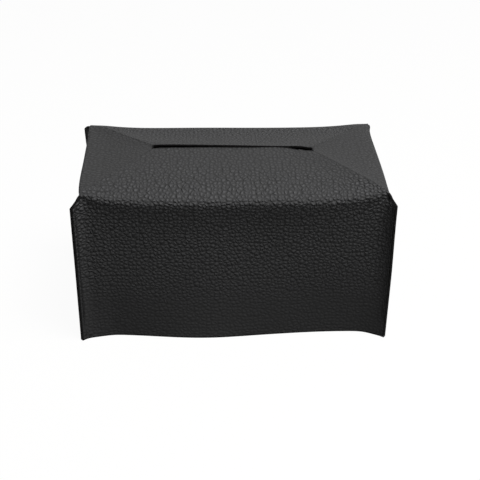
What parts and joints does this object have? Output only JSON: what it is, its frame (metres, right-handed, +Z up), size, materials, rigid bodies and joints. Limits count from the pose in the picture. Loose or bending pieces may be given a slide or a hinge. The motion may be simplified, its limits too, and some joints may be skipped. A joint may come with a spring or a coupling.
{
  "type": "tissue box cover",
  "caption": "Soft open-bottomed leather cover that drops over a tissue box, with pinched, stitched corner seams and a low hipped top that has a long slit for drawing tissues.",
  "frame": {"origin": "middle of the open bottom, in the plane of the hem", "axes": "+X along the length to the right as seen from the front, +Y from the front to the back, +Z up"},
  "size_m": [0.2418, 0.135, 0.1342],
  "materials": {
    "leather": "pebbled, satin",
    "backing": "woven, matte",
    "thread": "twisted, satin"
  },
  "bodies": {
    "root": {"back_backing": "backing", "back_left_corner_bobbin_thread": "thread", "back_left_corner_needle_thread": "thread", "back_left_top_bobbin_thread": "thread", "back_left_top_needle_thread": "thread", "back_panel": "leather", "back_right_corner_bobbin_thread": "thread", "back_right_corner_needle_thread": "thread", "back_right_top_bobbin_thread": "thread", "back_right_top_needle_thread": "thread", "front_backing": "backing", "front_left_corner_bobbin_thread": "thread", "front_left_corner_needle_thread": "thread", "front_left_top_bobbin_thread": "thread", "front_left_top_needle_thread": "thread", "front_panel": "leather", "front_right_corner_bobbin_thread": "thread", "front_right_corner_needle_thread": "thread", "front_right_top_bobbin_thread": "thread", "front_right_top_needle_thread": "thread", "left_end_backing": "backing", "left_end_panel": "leather", "right_end_backing": "backing", "right_end_panel": "leather"}
  },
  "joints": []
}
